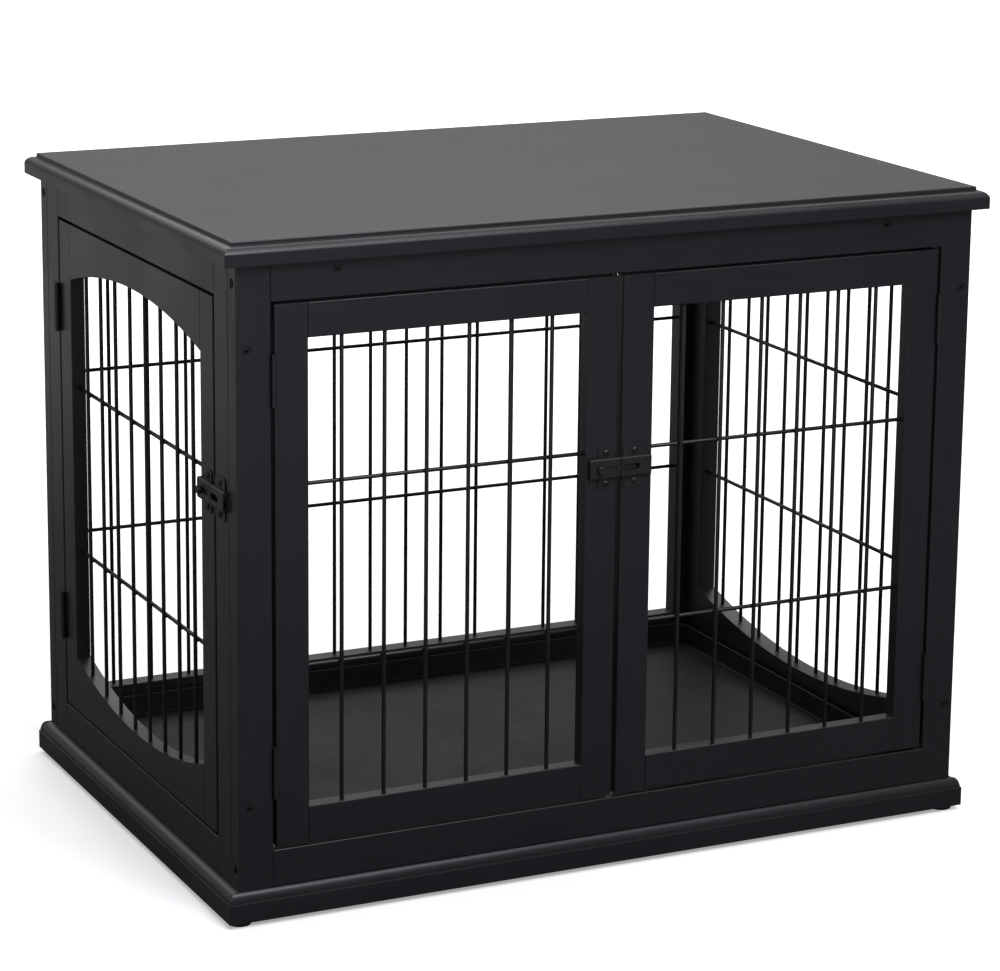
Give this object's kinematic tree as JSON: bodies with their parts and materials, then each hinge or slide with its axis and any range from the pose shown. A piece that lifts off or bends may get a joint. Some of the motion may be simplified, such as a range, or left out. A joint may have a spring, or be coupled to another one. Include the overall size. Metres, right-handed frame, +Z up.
{
  "type": "end-table dog crate",
  "caption": "Furniture-style dog crate: black wooden cabinet with a moulded table top and plinth, wire grille walls, latched front double doors, a side door and a floor tray.",
  "frame": {"origin": "middle of the footprint, on the floor under the feet", "axes": "+Z up, +X along the longest side towards the fixed side wall, -Y out of the double doors, -X out of the side door"},
  "size_m": [0.81, 0.57, 0.65],
  "materials": {
    "painted_wood": "satin black paint over a faint grain",
    "bare_wood": "bare",
    "black_wire": "satin black coating",
    "black_hardware": "satin black coating",
    "tray_plastic": "fine matt texture",
    "foot_plastic": "matt"
  },
  "bodies": {
    "crate": {"table_top": "painted_wood", "top_battens": "painted_wood", "plinth_front": "painted_wood", "plinth_back": "painted_wood", "plinth_left": "painted_wood", "plinth_right": "painted_wood", "floor_panel": "painted_wood", "front_left_stile": "painted_wood", "front_right_stile": "painted_wood", "front_top_rail": "painted_wood", "front_bottom_rail": "painted_wood", "back_left_stile": "painted_wood", "back_right_stile": "painted_wood", "back_top_rail": "painted_wood", "back_bottom_rail": "painted_wood", "left_front_stile": "painted_wood", "left_back_stile": "painted_wood", "left_top_rail": "painted_wood", "left_bottom_rail": "painted_wood", "right_front_stile": "painted_wood", "right_back_stile": "painted_wood", "right_top_rail": "painted_wood", "right_bottom_rail": "painted_wood", "feet": "foot_plastic", "back_grille": "black_wire", "right_grille": "black_wire", "frame_screws": "black_hardware", "frame_dowels": "bare_wood", "frame_hinge_leaves": "black_hardware", "hinge_pins": "black_hardware", "side_latch_keeper": "black_hardware"},
    "left_door": {"left_door_hinge_stile": "painted_wood", "left_door_latch_stile": "painted_wood", "left_door_top_rail": "painted_wood", "left_door_bottom_rail": "painted_wood", "left_door_grille": "black_wire", "left_door_hinge_leaves": "black_hardware", "front_latch_plate": "black_hardware", "left_door_screws": "black_hardware"},
    "right_door": {"right_door_hinge_stile": "painted_wood", "right_door_latch_stile": "painted_wood", "right_door_top_rail": "painted_wood", "right_door_bottom_rail": "painted_wood", "right_door_grille": "black_wire", "right_door_hinge_leaves": "black_hardware", "front_latch_keeper": "black_hardware", "right_door_screws": "black_hardware"},
    "side_door": {"side_door_hinge_stile": "painted_wood", "side_door_latch_stile": "painted_wood", "side_door_top_rail": "painted_wood", "side_door_bottom_rail": "painted_wood", "side_door_grille": "black_wire", "side_door_hinge_leaves": "black_hardware", "side_latch_plate": "black_hardware", "side_door_screws": "black_hardware"},
    "front_bolt": {"front_latch_bolt": "black_hardware"},
    "side_bolt": {"side_latch_bolt": "black_hardware"},
    "tray": {"tray": "tray_plastic"}
  },
  "joints": [
    {"name": "left_door_hinge", "type": "hinge", "parent": "crate", "child": "left_door", "pos_m": [-0.35525, -0.2777, 0.3335], "axis": [0, 0, -1], "range_deg": [0, 170]},
    {"name": "right_door_hinge", "type": "hinge", "parent": "crate", "child": "right_door", "pos_m": [0.35525, -0.2777, 0.3335], "axis": [0, 0, 1], "range_deg": [0, 170]},
    {"name": "side_door_hinge", "type": "hinge", "parent": "crate", "child": "side_door", "pos_m": [-0.3937, 0.21925, 0.333], "axis": [0, 0, -1], "range_deg": [0, 170]},
    {"name": "front_bolt_slide", "type": "slide", "parent": "left_door", "child": "front_bolt", "axis": [1, 0, 0], "range_m": [0, 0.015]},
    {"name": "side_bolt_slide", "type": "slide", "parent": "side_door", "child": "side_bolt", "axis": [0, -1, 0], "range_m": [0, 0.015]},
    {"name": "tray_lift", "type": "slide", "parent": "crate", "child": "tray", "axis": [0, 0, 1], "range_m": [0, 0.06]}
  ]
}
